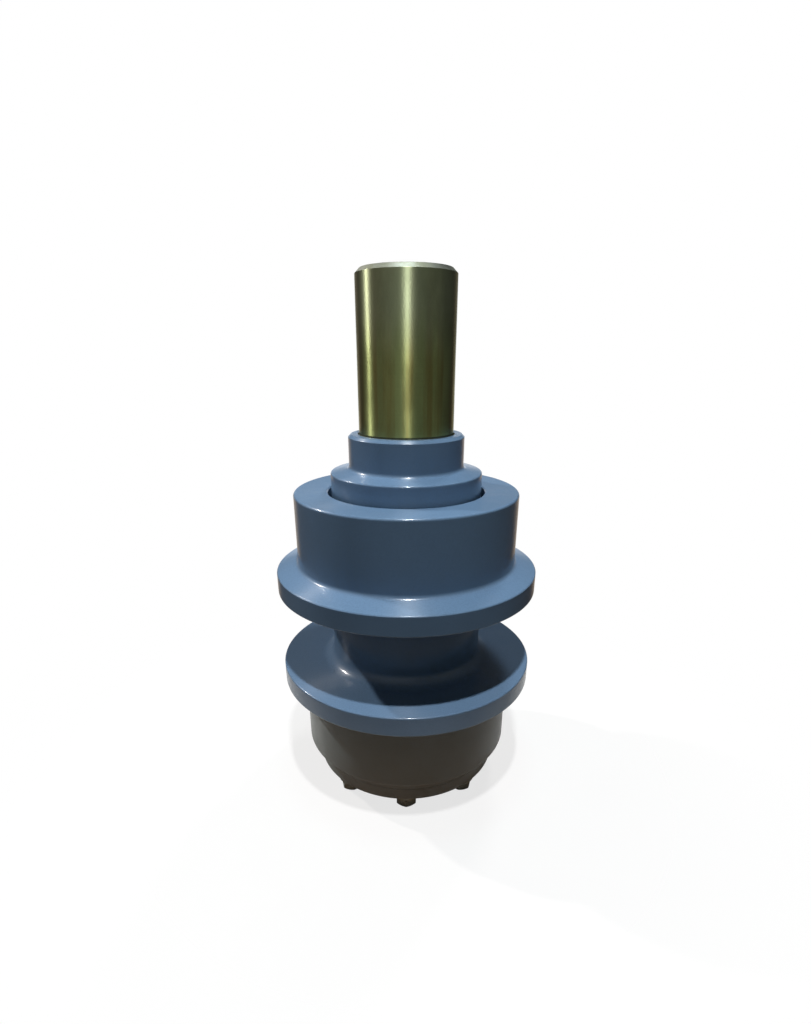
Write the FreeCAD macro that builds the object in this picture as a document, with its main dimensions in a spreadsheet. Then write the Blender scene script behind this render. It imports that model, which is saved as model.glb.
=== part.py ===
import FreeCAD, Part
import math
import os
import Sketcher

# Carrier roller of an excavator, standing on the heads of its cover bolts.
# The origin is the centre of the plane that those heads rest on, and +Z runs up the shaft.
# Every length is in millimetres.

SIZES = {
    # outside of the roller
    "tread_radius": 98.25,
    "tread_width": 68.5,
    "flange_height": 19.25,
    "flange_rim_width": 18.0,
    "flange_slope": 6.0,
    "groove_width": 72.0,
    "waist_radius": 70.0,
    "end_step": 10.25,
    "end_neck_length": 12.0,
    "waist_fillet": 11.0,
    "tread_root_fillet": 4.0,
    "tread_edge_fillet": 2.0,
    "flange_edge_bevel": 0.8,
    "end_rim_bevel": 1.0,
    # inside of the roller
    "outer_cavity_wall": 26.0,
    "outer_cavity_depth": 47.0,
    "waist_wall": 15.0,
    "bush_seat_length": 59.0,
    "shroud_depth": 26.0,
    "mouth_bevel": 1.0,
    # shaft
    "shaft_radius": 40.0,
    "journal_step": 5.0,
    "collar_seat_step": 0.5,
    "clamp_length": 118.9,
    "shaft_bevel": 3.7,
    "journal_bevel": 1.5,
    "centre_hole_radius": 3.2,
    "centre_hole_mouth": 6.7,
    "centre_hole_depth": 12.0,
    # bushes
    "bush_wall": 7.0,
    "bush_length": 55.0,
    "bush_flange_width": 5.0,
    "bush_flange_thickness": 5.0,
    "bush_groove_count": 3,
    "bush_groove_radius": 2.0,
    "bush_bevel": 0.8,
    "running_gap": 0.05,
    "press_gap": 0.02,
    "end_float": 0.3,
    # face seal between the collar and the roller
    "seal_ring_room": 1.45,
    "seal_ring_wall": 3.3,
    "seal_ring_rim": 4.0,
    "seal_rim_gap": 1.5,
    "seal_ring_length": 14.0,
    "seal_face_gap": 0.05,
    "seal_end_room": 2.5,
    "toric_space": 7.2,
    "toric_gap": 0.1,
    "toric_setback": 1.0,
    # collar on the shaft
    "collar_skirt_wall": 6.5,
    "collar_stand": 16.3,
    "collar_neck_wall": 8.9,
    "collar_neck_height": 31.5,
    "collar_shelf_slope": 3.0,
    "collar_neck_fillet": 3.5,
    "collar_neck_bevel": 2.2,
    "collar_edge_fillet": 1.6,
    "collar_hub_gap": 3.0,
    "collar_hub_setback": 4.7,
    "shroud_gap": 3.15,
    "shroud_end_gap": 3.0,
    "dowel_radius": 5.0,
    "dowel_depth": 15.5,
    "dowel_setback": 1.0,
    "dowel_bevel": 0.8,
    # round rubber rings, one under the collar and one on the cover's spigot
    "o_ring_radius": 1.75,
    "o_ring_gap": 0.1,
    "o_ring_side_room": 0.5,
    "collar_o_ring_setback": 14.0,
    # plate that holds the shaft in
    "thrust_plate_overhang": 3.0,
    "thrust_plate_thickness": 12.0,
    "thrust_plate_bevel": 1.5,
    "thrust_bolt_count": 3,
    "thrust_bolt_circle": 20.0,
    "thrust_bolt_engagement": 22.0,
    # end cover
    "cover_thickness": 12.0,
    "cover_spigot_length": 9.0,
    "cover_spigot_gap": 0.1,
    "cover_spigot_wall": 12.0,
    # hexagon bolts and their washers
    "cover_bolt_count": 8,
    "cover_bolt_edge": 13.0,
    "cover_bolt_engagement": 20.0,
    "bolt_radius": 6.0,
    "bolt_head_flats": 18.0,
    "bolt_head_height": 7.5,
    "bolt_face_trim": 0.6,
    "bolt_corner_trim": 0.2,
    "bolt_corner_bevel": 1.1,
    "bolt_tip_bevel": 1.2,
    "tapped_hole_runout": 6.0,
    "thread_gap": 0.05,
    "bolt_hole_gap": 0.75,
    "spring_washer_wall": 4.2,
    "spring_washer_thickness": 2.5,
    "spring_washer_split": 1.8,
    "plain_washer_wall": 5.7,
    "plain_washer_thickness": 2.5,
    "washer_bore_gap": 0.3,
    # oil plug and its seal
    "plug_radius": 10.0,
    "plug_length": 16.0,
    "plug_head_step": 4.0,
    "plug_head_thickness": 5.0,
    "plug_socket_flats": 10.0,
    "plug_socket_depth": 7.0,
    "plug_bevel": 0.8,
    "plug_seal_thickness": 1.5,
}

# How near an edge lies to the ring that names it.
EDGE_MATCH = 1e-4

# Heights and radii that follow from the sizes, each listed after those that it uses.
PLACES = {
    "rest_plane": "0",
    "middle": "0",
    # outside of the roller and its cover, from the bolt heads up
    "spring_washer_low": "sizes.bolt_head_height",
    "plain_washer_low": "spring_washer_low + sizes.spring_washer_thickness",
    "cover_low": "plain_washer_low + sizes.plain_washer_thickness",
    "cover_high": "cover_low + sizes.cover_thickness",
    "tread_low": "cover_high + sizes.end_neck_length",
    "low_flange_rim": "tread_low + sizes.tread_width",
    "low_flange_root": "low_flange_rim - sizes.flange_slope",
    "groove_low": "low_flange_rim + sizes.flange_rim_width",
    "groove_high": "groove_low + sizes.groove_width",
    "high_flange_rim": "groove_high + sizes.flange_rim_width",
    "high_flange_root": "high_flange_rim + sizes.flange_slope",
    "roller_high": "high_flange_rim + sizes.tread_width",
    "flange_radius": "sizes.tread_radius + sizes.flange_height",
    "end_rim": "sizes.tread_radius - sizes.end_step",
    # shaft journal and bushes, outwards from the shaft
    "journal_radius": "sizes.shaft_radius - sizes.journal_step",
    "journal_tip": "journal_radius - sizes.journal_bevel",
    "bush_bore": "journal_radius + sizes.running_gap",
    "bush_outside": "bush_bore + sizes.bush_wall",
    "bush_seat": "bush_outside + sizes.press_gap",
    "bush_flange": "bush_outside + sizes.bush_flange_width",
    # face seal and collar, outwards from the bush flange
    "seal_ring_bore": "bush_flange + sizes.seal_ring_room",
    "seal_ring_tail": "seal_ring_bore + sizes.seal_ring_wall",
    "seal_bore": "seal_ring_tail + sizes.toric_space",
    "seal_ring_outside": "seal_bore - sizes.seal_rim_gap",
    "collar_outside": "seal_bore + sizes.collar_skirt_wall",
    "collar_seat": "sizes.shaft_radius + sizes.collar_seat_step",
    "collar_bore": "collar_seat + sizes.press_gap",
    "collar_hub": "seal_ring_bore - sizes.collar_hub_gap",
    "collar_neck": "collar_seat + sizes.collar_neck_wall",
    "shroud_bore": "collar_outside + sizes.shroud_gap",
    # inside of the roller
    "outer_cavity": "end_rim - sizes.outer_cavity_wall",
    "outer_cavity_floor": "cover_high + sizes.outer_cavity_depth",
    "outer_seat_end": "outer_cavity_floor + sizes.bush_seat_length",
    "oil_cavity": "sizes.waist_radius - sizes.waist_wall",
    "shroud_floor": "roller_high - sizes.shroud_depth",
    "seal_plane": "shroud_floor + sizes.shroud_end_gap / 2",
    "seal_reach": "sizes.seal_ring_length + sizes.seal_end_room",
    "inner_cavity_floor": "seal_plane - seal_reach",
    "inner_seat_end": "inner_cavity_floor - sizes.bush_seat_length",
    # ends of the bushes
    "outer_bush_face": "outer_cavity_floor - sizes.bush_flange_thickness",
    "outer_bush_end": "outer_cavity_floor + sizes.bush_length",
    "inner_bush_face": "inner_cavity_floor + sizes.bush_flange_thickness",
    "inner_bush_end": "inner_cavity_floor - sizes.bush_length",
    # heights on the collar and the shaft
    "shaft_low": "outer_bush_face - sizes.end_float",
    "journal_start": "shaft_low + sizes.journal_bevel",
    "shaft_shoulder": "inner_bush_face + sizes.end_float",
    "collar_hub_low": "shaft_shoulder + sizes.collar_hub_setback",
    "collar_skirt_low": "shroud_floor + sizes.shroud_end_gap",
    "collar_recess_roof": "seal_plane + seal_reach",
    "collar_shelf": "roller_high + sizes.collar_stand",
    "collar_shelf_root": "collar_shelf + sizes.collar_shelf_slope",
    "collar_high": "collar_shelf + sizes.collar_neck_height",
    "collar_seat_bevel": "collar_high - sizes.collar_seat_step",
    "clamp_end": "collar_high + sizes.clamp_length",
    "shaft_high": "clamp_end + sizes.shaft_bevel",
    "shaft_tip": "sizes.shaft_radius - sizes.shaft_bevel",
    "centre_cone_end": "shaft_high - sizes.centre_hole_mouth + sizes.centre_hole_radius",
    "centre_hole_end": "shaft_high - sizes.centre_hole_depth",
    # dowel through the collar into the shaft
    "dowel_height": "collar_shelf + sizes.collar_neck_height / 2",
    "dowel_inner_end": "collar_seat - sizes.dowel_depth",
    "dowel_outer_end": "collar_neck - sizes.dowel_setback",
    "dowel_tip": "sizes.dowel_radius - sizes.dowel_bevel",
    "dowel_inner_bevel": "dowel_inner_end + sizes.dowel_bevel",
    "dowel_outer_bevel": "dowel_outer_end - sizes.dowel_bevel",
    "dowel_hole": "sizes.dowel_radius + sizes.press_gap",
    "dowel_hole_end": "collar_neck + sizes.dowel_radius",
    # both halves of the face seal
    "fixed_face": "seal_plane + sizes.seal_face_gap / 2",
    "fixed_rim": "fixed_face + sizes.seal_ring_rim",
    "fixed_tail": "fixed_face + sizes.seal_ring_length",
    "turning_face": "seal_plane - sizes.seal_face_gap / 2",
    "turning_rim": "turning_face - sizes.seal_ring_rim",
    "turning_tail": "turning_face - sizes.seal_ring_length",
    "toric_circle": "(seal_bore + seal_ring_tail) / 2",
    "toric_radius": "sizes.toric_space / 2 - sizes.toric_gap",
    "toric_rise": "sizes.seal_ring_rim + sizes.toric_setback + toric_radius",
    "fixed_toric": "fixed_face + toric_rise",
    "turning_toric": "turning_face - toric_rise",
    # O-rings and their grooves
    "o_ring_depth": "2 * sizes.o_ring_radius + sizes.o_ring_gap",
    "o_ring_half": "sizes.o_ring_radius + sizes.o_ring_side_room",
    "collar_ring_circle": "collar_seat - sizes.o_ring_radius",
    "collar_ring_floor": "collar_seat - o_ring_depth",
    "collar_ring_height": "collar_hub_low + sizes.collar_o_ring_setback",
    "collar_ring_low": "collar_ring_height - o_ring_half",
    "collar_ring_high": "collar_ring_height + o_ring_half",
    "spigot_outside": "outer_cavity - sizes.cover_spigot_gap",
    "spigot_bore": "spigot_outside - sizes.cover_spigot_wall",
    "spigot_end": "cover_high + sizes.cover_spigot_length",
    "cover_ring_circle": "spigot_outside - sizes.o_ring_radius",
    "cover_ring_floor": "spigot_outside - o_ring_depth",
    "cover_ring_height": "cover_high + sizes.cover_spigot_length / 2",
    "cover_ring_low": "cover_ring_height - o_ring_half",
    "cover_ring_high": "cover_ring_height + o_ring_half",
    # bolts, washers and their holes
    "cover_bolt_circle": "end_rim - sizes.cover_bolt_edge",
    "bolt_face": "sizes.bolt_head_flats / 2 - sizes.bolt_face_trim",
    "bolt_corner": "sizes.bolt_head_flats / sqrt(3) - sizes.bolt_corner_trim",
    "bolt_trim_ring": "sizes.bolt_head_flats",
    "bolt_tip": "sizes.bolt_radius - sizes.bolt_tip_bevel",
    "tapped_hole": "sizes.bolt_radius + sizes.thread_gap",
    "bolt_hole": "sizes.bolt_radius + sizes.bolt_hole_gap",
    "washer_bore": "sizes.bolt_radius + sizes.washer_bore_gap",
    "spring_washer_outside": "washer_bore + sizes.spring_washer_wall",
    "plain_washer_outside": "washer_bore + sizes.plain_washer_wall",
    "split_half": "sizes.spring_washer_split / 2",
    "split_other_half": "-sizes.spring_washer_split / 2",
    "split_reach": "spring_washer_outside + sizes.spring_washer_split",
    "cover_bolt_bevel": "sizes.bolt_corner_bevel",
    "cover_bolt_end": "cover_high + sizes.cover_bolt_engagement",
    "cover_bolt_taper": "cover_bolt_end - sizes.bolt_tip_bevel",
    "cover_tapping_end": "cover_bolt_end + sizes.tapped_hole_runout",
    "thrust_plate_radius": "bush_flange + sizes.thrust_plate_overhang",
    "thrust_plate_low": "shaft_low - sizes.thrust_plate_thickness",
    "thrust_washer_low": "thrust_plate_low - sizes.plain_washer_thickness",
    "thrust_head_low": "thrust_washer_low - sizes.bolt_head_height",
    "thrust_bolt_bevel": "thrust_head_low + sizes.bolt_corner_bevel",
    "thrust_bolt_end": "shaft_low + sizes.thrust_bolt_engagement",
    "thrust_bolt_taper": "thrust_bolt_end - sizes.bolt_tip_bevel",
    "thrust_tapping_end": "thrust_bolt_end + sizes.tapped_hole_runout",
    # oil plug
    "plug_hole": "sizes.plug_radius + sizes.thread_gap",
    "plug_head": "sizes.plug_radius + sizes.plug_head_step",
    "plug_seal_low": "cover_low - sizes.plug_seal_thickness",
    "plug_low": "plug_seal_low - sizes.plug_head_thickness",
    "plug_socket_end": "plug_low + sizes.plug_socket_depth",
    "plug_high": "plug_low + sizes.plug_length",
}


def fill_sheet(name, rows, mark):
    """One named cell a row: its name in the first column, its mark and content in the second."""
    sheet = doc.addObject("Spreadsheet::Sheet", name)
    for row, (alias, content) in enumerate(rows.items(), start=1):
        sheet.set(f"A{row}", alias)
        sheet.set(f"B{row}", f"{mark}{content}")
        sheet.setAlias(f"B{row}", alias)
    doc.recompute()
    return sheet


doc = FreeCAD.newDocument("carrier_roller")
sizes = fill_sheet("sizes", SIZES, "")
places = fill_sheet("places", PLACES, "=")


def cell(alias):
    """Formula that names one cell of either sheet."""
    return f"sizes.{alias}" if alias in SIZES else f"places.{alias}"


def number(alias):
    """Present value of one cell of either sheet."""
    return float((sizes if alias in SIZES else places).get(alias))


def new_body(label):
    body = doc.addObject("PartDesign::Body", label)
    body.Label = label
    return body


def new_sketch(body, name, role, offset):
    """Sketch on one of the body's origin planes, moved along its own axes by named cells."""
    sketch = body.newObject("Sketcher::SketchObject", name)
    plane = next(item for item in body.Origin.OriginFeatures if item.Role == role)
    sketch.AttachmentSupport = [(plane, "")]
    sketch.MapMode = "FlatFace"
    for direction, alias in offset.items():
        sketch.setExpression(f"AttachmentOffset.Base.{direction}", cell(alias))
    return sketch


def bind_point(sketch, curve, point, across, up):
    """Tie a curve's point to two cells: its distances from the sketch's own origin."""
    for kind, alias in (("DistanceX", across), ("DistanceY", up)):
        rule = sketch.addConstraint(Sketcher.Constraint(kind, -1, 1, curve, point, number(alias)))
        sketch.setExpression(f"Constraints[{rule}]", cell(alias))


def bind_radius(sketch, curve, radius, formula):
    rule = sketch.addConstraint(Sketcher.Constraint("Radius", curve, radius))
    sketch.setExpression(f"Constraints[{rule}]", formula)


def draw_outline(sketch, corners):
    """Closed outline of straight edges through corners, each named by two cells."""
    spots = [FreeCAD.Vector(number(across), number(up), 0) for across, up in corners]
    first = sketch.GeometryCount
    for start, end in zip(spots, spots[1:] + spots[:1]):
        sketch.addGeometry(Part.LineSegment(start, end), False)
    for index, (across, up) in enumerate(corners):
        before = first + (index - 1) % len(corners)
        sketch.addConstraint(Sketcher.Constraint("Coincident", before, 2, first + index, 1))
        bind_point(sketch, first + index, 1, across, up)


def draw_circle(sketch, radius, across="middle"):
    """Circle with its centre on the sketch's level line."""
    centre = FreeCAD.Vector(number(across), 0, 0)
    curve = sketch.addGeometry(Part.Circle(centre, FreeCAD.Vector(0, 0, 1), number(radius)), False)
    bind_point(sketch, curve, 3, across, "middle")
    bind_radius(sketch, curve, number(radius), cell(radius))


def draw_hexagon(sketch, flats):
    """Hexagon about the sketch's origin, with two corners on its level line."""
    reach = number(flats) / math.sqrt(3)
    turns = [math.radians(60 * index) for index in range(6)]
    tips = [FreeCAD.Vector(reach * math.cos(turn), reach * math.sin(turn), 0) for turn in turns]
    guide = sketch.addGeometry(Part.Circle(FreeCAD.Vector(), FreeCAD.Vector(0, 0, 1), reach), True)
    bind_point(sketch, guide, 3, "middle", "middle")
    bind_radius(sketch, guide, reach, f"{cell(flats)} / sqrt(3)")
    first = sketch.GeometryCount
    for start, end in zip(tips, tips[1:] + tips[:1]):
        sketch.addGeometry(Part.LineSegment(start, end), False)
    for index in range(6):
        before = first + (index - 1) % 6
        sketch.addConstraint(Sketcher.Constraint("Coincident", before, 2, first + index, 1))
        sketch.addConstraint(Sketcher.Constraint("PointOnObject", first + index, 1, guide))
        if index:
            sketch.addConstraint(Sketcher.Constraint("Equal", first, first + index))
    sketch.addConstraint(Sketcher.Constraint("PointOnObject", first, 1, -1))


def add_turned(body, kind, name, corners, offset, role, axis):
    """Revolve an outline about an axis of its own sketch, as the kind of feature asks."""
    sketch = new_sketch(body, f"{name}_section", role, offset)
    draw_outline(sketch, corners)
    turned = body.newObject(kind, name)
    turned.Profile = sketch
    turned.ReferenceAxis = (sketch, [axis])
    turned.Angle = 360
    body.Tip = turned
    doc.recompute()
    return turned


def turn_solid(body, name, corners, offset=None, role="XZ_Plane", axis="V_Axis"):
    return add_turned(body, "PartDesign::Revolution", name, corners, offset or {}, role, axis)


def check_cut(name, body, before):
    if body.Shape.Volume >= before:
        raise RuntimeError(f"{name} cuts nothing")


def bore_across(body, name, radius, start, end, height):
    """Round hole that runs along +Y at a named height."""
    before = body.Shape.Volume
    corners = [(start, "middle"), (end, "middle"), (end, radius), (start, radius)]
    add_turned(body, "PartDesign::Groove", name, corners, {"y": height}, "YZ_Plane", "H_Axis")
    check_cut(name, body, before)


def cut_up(body, name, draw, low, high, across="middle"):
    """Pocket that starts at one named height and runs up to another."""
    sketch = new_sketch(body, f"{name}_section", "XY_Plane", {"x": across, "z": low})
    draw(sketch)
    before = body.Shape.Volume
    pocket = body.newObject("PartDesign::Pocket", name)
    pocket.Profile = sketch
    pocket.Type = "Length"
    pocket.setExpression("Length", f"{cell(high)} - {cell(low)}")
    pocket.Reversed = True
    body.Tip = pocket
    doc.recompute()
    check_cut(name, body, before)
    return pocket


def repeat_round(body, name, features, count):
    """Copies of the features at even steps round the body's upright."""
    pattern = body.newObject("PartDesign::PolarPattern", name)
    pattern.Originals = features
    upright = next(item for item in body.Origin.OriginFeatures if item.Role == "Z_Axis")
    pattern.Axis = (upright, [""])
    pattern.Angle = 360
    pattern.setExpression("Occurrences", cell(count))
    body.Tip = pattern
    doc.recompute()


def hole_ring(body, name, radius, circle, count, low, high):
    """Ring of round holes between two named heights."""
    hole = cut_up(body, name, lambda sketch: draw_circle(sketch, radius), low, high, circle)
    repeat_round(body, f"{name}_round", [hole], count)


def edges_on_rings(shape, rings):
    """Names of the shape's round edges that lie on the named rings about the upright."""
    names = []
    for radius, height in rings:
        found = [
            f"Edge{index}" for index, edge in enumerate(shape.Edges, start=1)
            if isinstance(edge.Curve, Part.Circle)
            and abs(edge.Curve.Radius - number(radius)) < EDGE_MATCH
            and (edge.Curve.Center - FreeCAD.Vector(0, 0, number(height))).Length < EDGE_MATCH
        ]
        if not found:
            raise RuntimeError(f"no edge at {radius}, {height}")
        names += found
    return names


def dress_rings(body, kind, name, rings, setting, size):
    base = body.Tip
    dressed = body.newObject(kind, name)
    dressed.Base = (base, edges_on_rings(base.Shape, rings))
    dressed.setExpression(setting, cell(size))
    body.Tip = dressed
    doc.recompute()


def round_rings(body, name, rings, radius):
    dress_rings(body, "PartDesign::Fillet", name, rings, "Radius", radius)


def bevel_rings(body, name, rings, width):
    dress_rings(body, "PartDesign::Chamfer", name, rings, "Size", width)


def build_roller_body():
    """Forged roller: two treads, two flanges, a waist between them and a neck at the outer end."""
    body = new_body("roller_body")
    turn_solid(body, "roller_forging", [
        ("outer_cavity", "cover_high"),
        ("end_rim", "cover_high"),
        ("end_rim", "tread_low"),
        ("tread_radius", "tread_low"),
        ("tread_radius", "low_flange_root"),
        ("flange_radius", "low_flange_rim"),
        ("flange_radius", "groove_low"),
        ("waist_radius", "groove_low"),
        ("waist_radius", "groove_high"),
        ("flange_radius", "groove_high"),
        ("flange_radius", "high_flange_rim"),
        ("tread_radius", "high_flange_root"),
        ("tread_radius", "roller_high"),
        ("shroud_bore", "roller_high"),
        ("shroud_bore", "shroud_floor"),
        ("seal_bore", "shroud_floor"),
        ("seal_bore", "inner_cavity_floor"),
        ("bush_seat", "inner_cavity_floor"),
        ("bush_seat", "inner_seat_end"),
        ("oil_cavity", "inner_seat_end"),
        ("oil_cavity", "outer_seat_end"),
        ("bush_seat", "outer_seat_end"),
        ("bush_seat", "outer_cavity_floor"),
        ("outer_cavity", "outer_cavity_floor"),
    ])
    hole_ring(body, "cover_tapping", "tapped_hole", "cover_bolt_circle", "cover_bolt_count",
              "cover_high", "cover_tapping_end")
    round_rings(body, "waist_rounds", [
        ("waist_radius", "groove_low"),
        ("waist_radius", "groove_high"),
    ], "waist_fillet")
    round_rings(body, "tread_root_rounds", [
        ("tread_radius", "low_flange_root"),
        ("tread_radius", "high_flange_root"),
    ], "tread_root_fillet")
    round_rings(body, "tread_edge_rounds", [
        ("tread_radius", "tread_low"),
        ("tread_radius", "roller_high"),
    ], "tread_edge_fillet")
    bevel_rings(body, "flange_edge_bevels", [
        ("flange_radius", "low_flange_rim"),
        ("flange_radius", "groove_low"),
        ("flange_radius", "groove_high"),
        ("flange_radius", "high_flange_rim"),
    ], "flange_edge_bevel")
    bevel_rings(body, "mouth_edge", [("shroud_bore", "roller_high")], "mouth_bevel")
    return body


def build_bush(label, face, floor, end):
    """Flanged bronze bush with oil grooves along its bore."""
    body = new_body(label)
    turn_solid(body, f"{label}_turned", [
        ("bush_bore", face),
        ("bush_flange", face),
        ("bush_flange", floor),
        ("bush_outside", floor),
        ("bush_outside", end),
        ("bush_bore", end),
    ])
    bevel_rings(body, f"{label}_lead", [("bush_outside", end)], "bush_bevel")
    low, high = sorted((face, end), key=number)
    groove = cut_up(body, f"{label}_oil_groove",
                    lambda sketch: draw_circle(sketch, "bush_groove_radius", "bush_bore"), low, high)
    repeat_round(body, f"{label}_oil_grooves", [groove], "bush_groove_count")
    return body


def build_shaft():
    """Fixed shaft: the journal at the foot, the collar's seat, and the ground clamp end above."""
    body = new_body("shaft")
    turn_solid(body, "shaft_turned", [
        ("middle", "shaft_low"),
        ("journal_tip", "shaft_low"),
        ("journal_radius", "journal_start"),
        ("journal_radius", "shaft_shoulder"),
        ("collar_seat", "shaft_shoulder"),
        ("collar_seat", "collar_ring_low"),
        ("collar_ring_floor", "collar_ring_low"),
        ("collar_ring_floor", "collar_ring_high"),
        ("collar_seat", "collar_ring_high"),
        ("collar_seat", "collar_seat_bevel"),
        ("shaft_radius", "collar_high"),
        ("shaft_radius", "clamp_end"),
        ("shaft_tip", "shaft_high"),
        ("centre_hole_mouth", "shaft_high"),
        ("centre_hole_radius", "centre_cone_end"),
        ("centre_hole_radius", "centre_hole_end"),
        ("middle", "centre_hole_end"),
    ])
    hole_ring(body, "thrust_tapping", "tapped_hole", "thrust_bolt_circle", "thrust_bolt_count",
              "shaft_low", "thrust_tapping_end")
    bore_across(body, "shaft_dowel_hole", "dowel_hole", "dowel_inner_end", "dowel_hole_end",
                "dowel_height")
    return body


def build_collar():
    """Stepped collar on the shaft, with a skirt that runs inside the roller's mouth."""
    body = new_body("collar")
    turn_solid(body, "collar_turned", [
        ("collar_bore", "collar_hub_low"),
        ("collar_hub", "collar_hub_low"),
        ("collar_hub", "collar_recess_roof"),
        ("seal_bore", "collar_recess_roof"),
        ("seal_bore", "collar_skirt_low"),
        ("collar_outside", "collar_skirt_low"),
        ("collar_outside", "collar_shelf"),
        ("collar_neck", "collar_shelf_root"),
        ("collar_neck", "collar_high"),
        ("collar_bore", "collar_high"),
    ])
    round_rings(body, "collar_neck_round", [("collar_neck", "collar_shelf_root")], "collar_neck_fillet")
    bevel_rings(body, "collar_neck_edge", [("collar_neck", "collar_high")], "collar_neck_bevel")
    round_rings(body, "collar_edge", [("collar_outside", "collar_shelf")], "collar_edge_fillet")
    bore_across(body, "collar_dowel_hole", "dowel_hole", "dowel_inner_end", "dowel_hole_end",
                "dowel_height")
    return body


def build_dowel():
    """Dowel that locks the collar to the shaft."""
    body = new_body("collar_dowel")
    turn_solid(body, "dowel_turned", [
        ("dowel_inner_end", "middle"),
        ("dowel_outer_end", "middle"),
        ("dowel_outer_end", "dowel_tip"),
        ("dowel_outer_bevel", "dowel_radius"),
        ("dowel_inner_bevel", "dowel_radius"),
        ("dowel_inner_end", "dowel_tip"),
    ], {"y": "dowel_height"}, "YZ_Plane", "H_Axis")
    return body


def build_ring(label, circle, radius, height):
    """Round rubber ring about the upright."""
    ring = doc.addObject("Part::Torus", label)
    ring.Label = label
    ring.setExpression("Radius1", cell(circle))
    ring.setExpression("Radius2", cell(radius))
    ring.setExpression("Placement.Base.z", cell(height))
    return ring


def build_seal_ring(label, face, rim, tail):
    """Hard ring of the face seal: a lapped rim, and a tail that the toric ring grips."""
    body = new_body(label)
    turn_solid(body, f"{label}_turned", [
        ("seal_ring_bore", face),
        ("seal_ring_outside", face),
        ("seal_ring_outside", rim),
        ("seal_ring_tail", rim),
        ("seal_ring_tail", tail),
        ("seal_ring_bore", tail),
    ])
    return body


def build_thrust_plate():
    """Round plate on the shaft's outer end that keeps the roller from sliding off."""
    body = new_body("thrust_plate")
    turn_solid(body, "thrust_plate_turned", [
        ("middle", "thrust_plate_low"),
        ("thrust_plate_radius", "thrust_plate_low"),
        ("thrust_plate_radius", "shaft_low"),
        ("middle", "shaft_low"),
    ])
    bevel_rings(body, "thrust_plate_edge", [("thrust_plate_radius", "thrust_plate_low")],
                "thrust_plate_bevel")
    hole_ring(body, "thrust_bolt_holes", "bolt_hole", "thrust_bolt_circle", "thrust_bolt_count",
              "thrust_plate_low", "shaft_low")
    return body


def build_end_cover():
    """Round cover with a spigot in the roller's outer cavity."""
    body = new_body("end_cover")
    turn_solid(body, "cover_turned", [
        ("plug_hole", "cover_low"),
        ("end_rim", "cover_low"),
        ("end_rim", "cover_high"),
        ("spigot_outside", "cover_high"),
        ("spigot_outside", "cover_ring_low"),
        ("cover_ring_floor", "cover_ring_low"),
        ("cover_ring_floor", "cover_ring_high"),
        ("spigot_outside", "cover_ring_high"),
        ("spigot_outside", "spigot_end"),
        ("spigot_bore", "spigot_end"),
        ("spigot_bore", "cover_high"),
        ("plug_hole", "cover_high"),
    ])
    bevel_rings(body, "cover_edge", [("end_rim", "cover_low")], "end_rim_bevel")
    hole_ring(body, "cover_bolt_holes", "bolt_hole", "cover_bolt_circle", "cover_bolt_count",
              "cover_low", "cover_high")
    return body


def build_bolts(label, circle, count, head_low, bevel_end, head_high, taper, tip):
    """Ring of hexagon bolts with their heads down, as separate solids in one node."""
    body = new_body(label)
    blank = turn_solid(body, f"{label}_blank", [
        ("middle", head_low),
        ("bolt_face", head_low),
        ("bolt_corner", bevel_end),
        ("bolt_corner", head_high),
        ("bolt_radius", head_high),
        ("bolt_radius", taper),
        ("bolt_tip", tip),
        ("middle", tip),
    ], {"x": circle})

    def draw_flats(sketch):
        draw_circle(sketch, "bolt_trim_ring")
        draw_hexagon(sketch, "bolt_head_flats")

    flats = cut_up(body, f"{label}_flats", draw_flats, head_low, head_high, circle)
    repeat_round(body, f"{label}_round", [blank, flats], count)
    return body


def build_washers(label, circle, count, outside, low, high):
    """Ring of plain washers as separate solids in one node."""
    body = new_body(label)
    blank = turn_solid(body, f"{label}_blank", [
        ("washer_bore", low),
        (outside, low),
        (outside, high),
        ("washer_bore", high),
    ], {"x": circle})
    repeat_round(body, f"{label}_round", [blank], count)
    return body


def build_spring_washers():
    """Ring of split spring washers, each with its gap towards the rim of the cover."""
    body = new_body("cover_spring_washers")
    blank = turn_solid(body, "spring_washer_blank", [
        ("washer_bore", "spring_washer_low"),
        ("spring_washer_outside", "spring_washer_low"),
        ("spring_washer_outside", "plain_washer_low"),
        ("washer_bore", "plain_washer_low"),
    ], {"x": "cover_bolt_circle"})

    def draw_split(sketch):
        draw_outline(sketch, [
            ("middle", "split_other_half"),
            ("split_reach", "split_other_half"),
            ("split_reach", "split_half"),
            ("middle", "split_half"),
        ])

    split = cut_up(body, "spring_washer_split_cut", draw_split, "spring_washer_low",
                   "plain_washer_low", "cover_bolt_circle")
    repeat_round(body, "spring_washer_round", [blank, split], "cover_bolt_count")
    return body


def build_plug():
    """Oil plug with a hexagon socket in its head."""
    body = new_body("oil_plug")
    turn_solid(body, "plug_turned", [
        ("middle", "plug_low"),
        ("plug_head", "plug_low"),
        ("plug_head", "plug_seal_low"),
        ("plug_radius", "plug_seal_low"),
        ("plug_radius", "plug_high"),
        ("middle", "plug_high"),
    ])
    bevel_rings(body, "plug_edges", [("plug_head", "plug_low"), ("plug_radius", "plug_high")],
                "plug_bevel")
    cut_up(body, "plug_socket", lambda sketch: draw_hexagon(sketch, "plug_socket_flats"),
           "plug_low", "plug_socket_end")
    return body


def build_plug_seal():
    """Flat ring between the oil plug's head and the cover."""
    body = new_body("oil_plug_seal")
    turn_solid(body, "plug_seal_turned", [
        ("plug_hole", "plug_seal_low"),
        ("plug_head", "plug_seal_low"),
        ("plug_head", "cover_low"),
        ("plug_hole", "cover_low"),
    ])
    return body


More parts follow.
